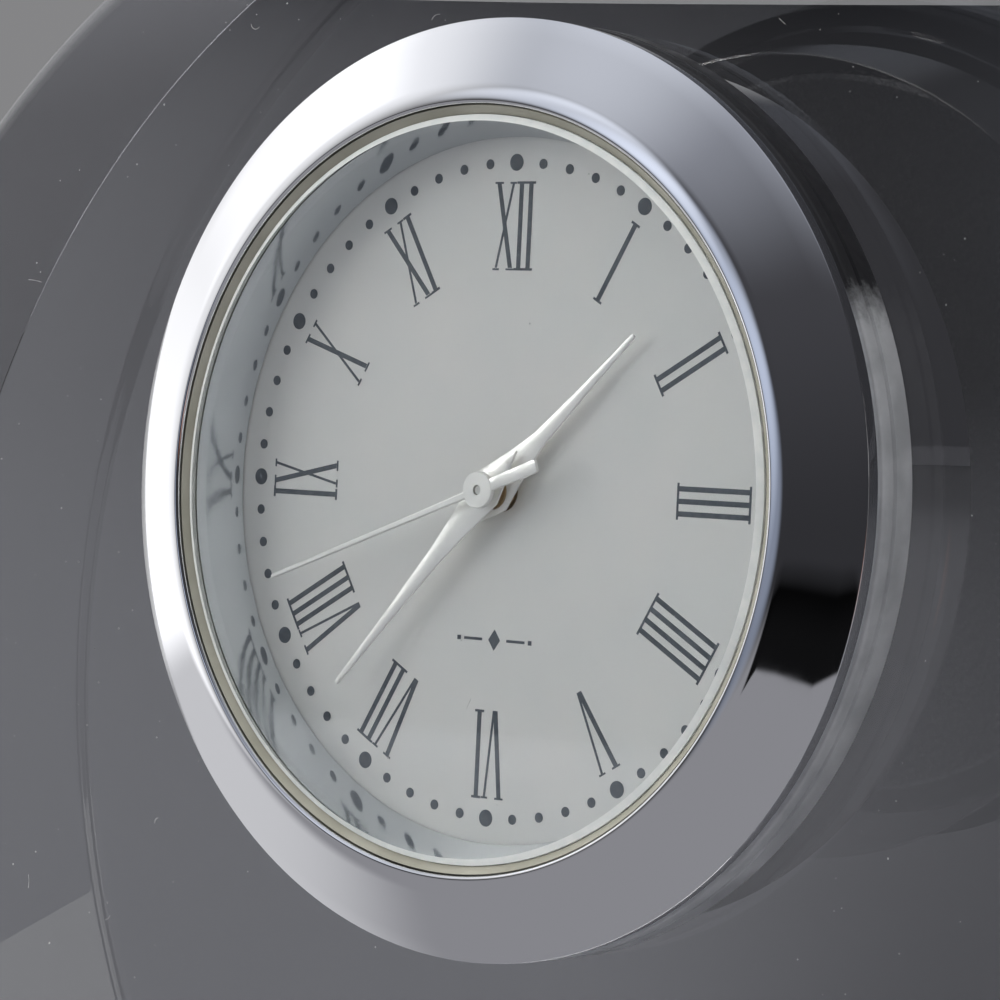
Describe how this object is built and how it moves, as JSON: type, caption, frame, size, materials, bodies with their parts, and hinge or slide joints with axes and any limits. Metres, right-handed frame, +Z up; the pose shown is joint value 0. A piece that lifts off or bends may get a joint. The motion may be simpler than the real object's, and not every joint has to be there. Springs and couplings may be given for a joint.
{
  "type": "mantel clock",
  "caption": "Small desk or mantel clock: a round chrome-rimmed quartz insert with Roman numerals pressed into a polished clear disc that leans back on a flat base.",
  "frame": {"origin": "centre of the bounding box's bottom face, on the surface the clock stands on", "axes": "+Z up, the dial looks towards -Y and leans back 5 degrees, +X towards 3 o'clock"},
  "size_m": [0.091, 0.0246, 0.0847],
  "materials": {
    "clear_crystal": "polished clear crystal glass, eased rims",
    "clear_soft_plastic": "clear soft plastic, glossy",
    "chrome": "mirror plated",
    "mineral_glass": "clear, bevelled rim",
    "olive_seal": "satin",
    "mirror_silver": "mirror",
    "silvered_dial": "fine satin, printed",
    "hand_metal": "bright plated, faceted",
    "bright_steel": "satin",
    "plated_brass": "satin",
    "white_plastic": "moulded",
    "black_plastic": "moulded",
    "green_board": "lacquered board",
    "black_epoxy": "cast",
    "copper_wire": "enamelled wire",
    "dark_magnet": "sintered"
  },
  "bodies": {
    "block": {"crystal_block": "clear_crystal"},
    "insert": {"grip_gasket": "clear_soft_plastic", "bezel": "chrome", "dial_glass": "mineral_glass", "glass_seal": "olive_seal", "reflector_ring": "mirror_silver", "dial": "silvered_dial", "case_tube": "bright_steel", "back_cap": "bright_steel", "movement_ring": "white_plastic", "main_plate": "black_plastic", "train_bridge": "plated_brass", "circuit_board": "green_board", "control_chip": "black_epoxy", "quartz_can": "bright_steel", "coil_core": "bright_steel", "coil_winding": "copper_wire", "stator": "bright_steel", "button_cell": "bright_steel", "battery_clamp": "bright_steel", "battery_contact": "plated_brass", "minute_wheel_stud": "bright_steel", "setting_wheel_stud": "bright_steel", "bridge_screw_1": "bright_steel", "bridge_screw_2": "bright_steel", "bridge_screw_3": "bright_steel", "clamp_screw_1": "bright_steel", "coil_screw_1": "bright_steel", "clamp_screw_2": "bright_steel", "coil_screw_2": "bright_steel", "board_screw": "bright_steel"},
    "seconds": {"seconds_wheel": "white_plastic", "second_hand": "hand_metal"},
    "minutes": {"centre_wheel": "plated_brass", "minute_hand": "hand_metal"},
    "hours": {"hour_wheel": "plated_brass", "hour_hand": "hand_metal"},
    "third": {"third_wheel": "white_plastic"},
    "fifth": {"fifth_wheel": "white_plastic"},
    "rotor": {"rotor": "dark_magnet"},
    "motion_wheel": {"minute_wheel": "plated_brass"},
    "setting": {"setting_wheel": "plated_brass"},
    "stem": {"stem": "bright_steel"},
    "crown": {"crown": "bright_steel"}
  },
  "joints": [
    {"name": "insert_pull", "type": "slide", "parent": "block", "child": "insert", "axis": [0, -0.9962, 0.0872], "range_m": [0, 0.012]},
    {"name": "seconds_turn", "type": "hinge", "parent": "insert", "child": "seconds", "pos_m": [0, -0.00662, 0.05624], "axis": [0, 0.9962, -0.0872], "continuous": true},
    {"name": "minutes_turn", "type": "hinge", "parent": "insert", "child": "minutes", "pos_m": [0, -0.00662, 0.05624], "axis": [0, 0.9962, -0.0872], "continuous": true},
    {"name": "hours_turn", "type": "hinge", "parent": "insert", "child": "hours", "pos_m": [0, -0.00662, 0.05624], "axis": [0, 0.9962, -0.0872], "continuous": true},
    {"name": "third_turn", "type": "hinge", "parent": "insert", "child": "third", "pos_m": [-0.00279, -0.00653, 0.05725], "axis": [0, 0.9962, -0.0872], "continuous": true},
    {"name": "fifth_turn", "type": "hinge", "parent": "insert", "child": "fifth", "pos_m": [0.00189, -0.00642, 0.05848], "axis": [0, 0.9962, -0.0872], "continuous": true},
    {"name": "rotor_turn", "type": "hinge", "parent": "insert", "child": "rotor", "pos_m": [0.00138, -0.00625, 0.06038], "axis": [0, 0.9962, -0.0872], "continuous": true},
    {"name": "motion_turn", "type": "hinge", "parent": "insert", "child": "motion_wheel", "pos_m": [0.00207, -0.00668, 0.05549], "axis": [0, 0.9962, -0.0872], "continuous": true},
    {"name": "setting_turn", "type": "hinge", "parent": "insert", "child": "setting", "pos_m": [0.00439, -0.00661, 0.05633], "axis": [0, 0.9962, -0.0872], "continuous": true},
    {"name": "crown_pull", "type": "slide", "parent": "insert", "child": "stem", "axis": [1, 0, 0], "range_m": [0, 0.001]},
    {"name": "crown_turn", "type": "hinge", "parent": "stem", "child": "crown", "pos_m": [0.0157, -0.00487, 0.05608], "axis": [1, 0, 0], "continuous": true}
  ],
  "couplings": [
    {"joint": "minutes_turn", "follows": "seconds_turn", "ratio": 0.016667},
    {"joint": "hours_turn", "follows": "seconds_turn", "ratio": 0.0013889},
    {"joint": "third_turn", "follows": "seconds_turn", "ratio": -0.13333},
    {"joint": "fifth_turn", "follows": "seconds_turn", "ratio": -6},
    {"joint": "rotor_turn", "follows": "seconds_turn", "ratio": 30},
    {"joint": "motion_turn", "follows": "seconds_turn", "ratio": -0.0055556},
    {"joint": "setting_turn", "follows": "seconds_turn", "ratio": 0.011111}
  ]
}
